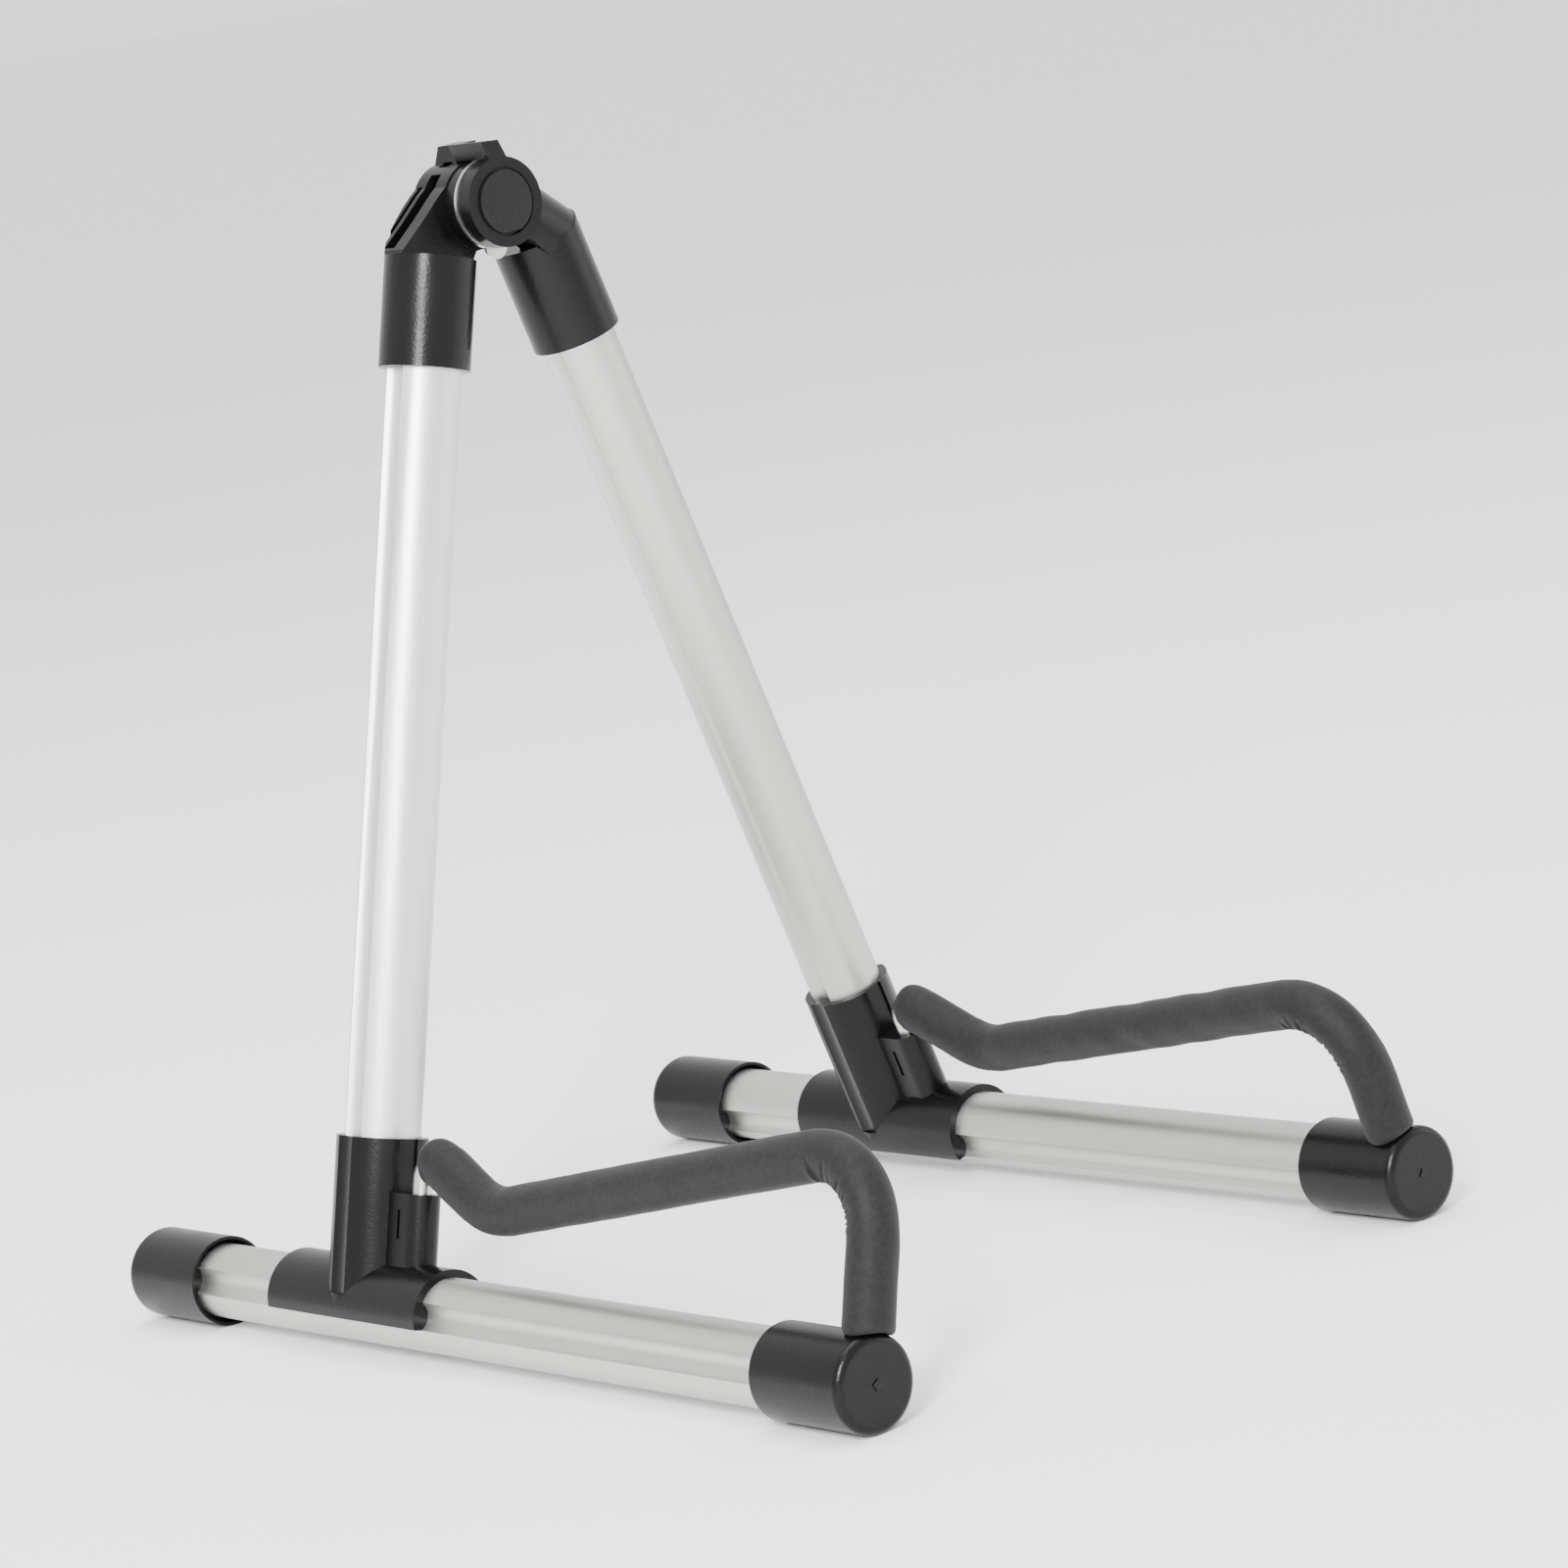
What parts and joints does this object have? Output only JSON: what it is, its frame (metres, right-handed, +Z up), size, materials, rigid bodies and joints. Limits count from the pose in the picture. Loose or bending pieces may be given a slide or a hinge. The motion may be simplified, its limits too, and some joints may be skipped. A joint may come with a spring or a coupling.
{
  "type": "folding instrument stand",
  "caption": "Folding A-frame guitar stand of grooved aluminium tube: hinged legs on floor tubes with foam-covered cradle arms at the front.",
  "frame": {"origin": "on the floor, at the bottom centre of the stand's bounding box", "axes": "+X to the right across the stand, from the root side to the moving side; +Y to the rear (the arms point to -Y); +Z up"},
  "size_m": [0.2294, 0.335, 0.3325],
  "materials": {
    "tube": "satin clear-anodised extruded tube",
    "plastic": "fine-grained black moulded nylon",
    "rod": "zinc-plated bent steel rod",
    "foam": "matte charcoal closed-cell foam sleeve",
    "plate": "zinc-plated pressed steel",
    "screw": "zinc-plated steel fixings"
  },
  "bodies": {
    "left_side": {"left_leg_tube": "tube", "left_base_tube": "tube", "left_tee": "plastic", "left_rear_cap": "plastic", "left_front_cap": "plastic", "left_arm_rod": "rod", "left_arm_foam": "foam", "left_hinge_half": "plastic", "left_leg_screw": "screw", "left_tee_screw": "screw", "hinge_barrel": "plastic"},
    "right_side": {"right_leg_tube": "tube", "right_base_tube": "tube", "right_tee": "plastic", "right_rear_cap": "plastic", "right_front_cap": "plastic", "right_arm_rod": "rod", "right_arm_foam": "foam", "right_hinge_half": "plastic", "right_leg_screw": "screw", "right_tee_screw": "screw", "hinge_stop_plate": "plate", "hinge_pin": "screw", "hinge_cover": "plastic", "hinge_rivet_washer": "plate"}
  },
  "joints": [
    {"name": "frame_fold", "type": "hinge", "parent": "left_side", "child": "right_side", "pos_m": [0, 0.0575, 0.31435], "axis": [0, 1, 0], "range_deg": [0, 31.8]}
  ]
}
